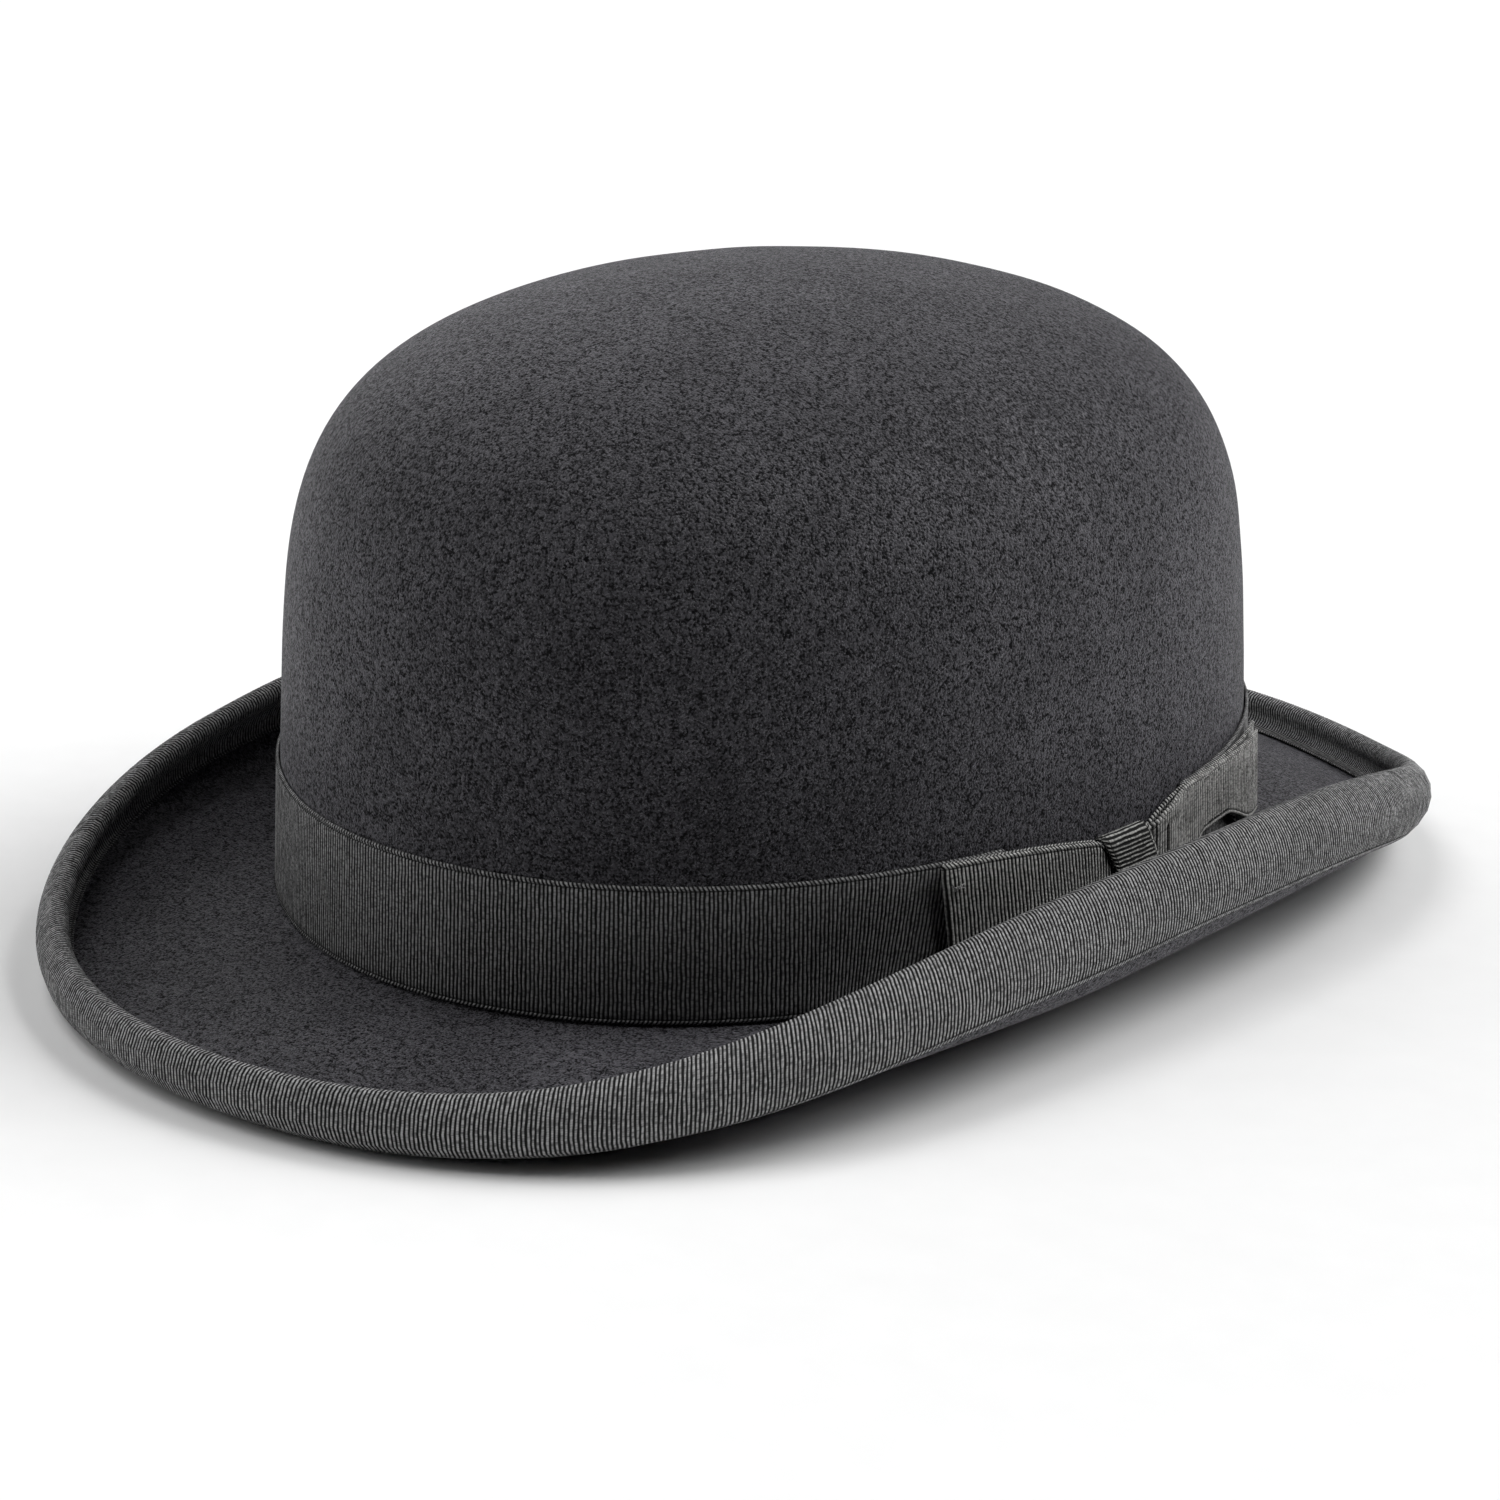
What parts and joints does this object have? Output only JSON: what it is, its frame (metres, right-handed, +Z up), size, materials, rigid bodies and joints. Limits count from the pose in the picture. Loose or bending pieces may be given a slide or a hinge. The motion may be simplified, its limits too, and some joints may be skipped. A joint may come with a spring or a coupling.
{
  "type": "bowler hat",
  "caption": "Hard felt bowler hat: round crown, curled brim bound in ribbon, ribbon band with a side bow, leather sweatband and satin lining.",
  "frame": {"origin": "on the surface that the hat rests on, under the centre of its bounding box", "axes": "+Z up; the wearer faces -Y; +X is the wearer's left, the side with the bow"},
  "size_m": [0.2112, 0.3106, 0.1265],
  "materials": {
    "wool_felt": "matte charcoal-black wool felt with a short nap",
    "grosgrain_ribbon": "ribbed grosgrain ribbon, dark grey, slight sheen",
    "sewing_thread": "twisted black sewing thread",
    "sweatband_leather": "smooth brown leather, satin",
    "reed_tape": "woven tape",
    "reed_plastic": "matte",
    "satin_lining": "dark satin weave, soft gloss"
  },
  "bodies": {
    "root": {"felt_body": "wool_felt", "brim_binding": "grosgrain_ribbon", "binding_stitch": "sewing_thread", "hat_band": "grosgrain_ribbon", "bow_base_ribbon": "grosgrain_ribbon", "bow_front_loop": "grosgrain_ribbon", "bow_rear_wing": "grosgrain_ribbon", "bow_knot": "grosgrain_ribbon", "bow_tack": "sewing_thread", "sweatband": "sweatband_leather", "sweatband_reed": "reed_plastic", "reed_tape": "reed_tape", "sweatband_stitch": "sewing_thread", "sweatband_bow_loops": "grosgrain_ribbon", "sweatband_bow_knot": "grosgrain_ribbon", "lining_side": "satin_lining", "lining_tip": "satin_lining"}
  },
  "joints": []
}
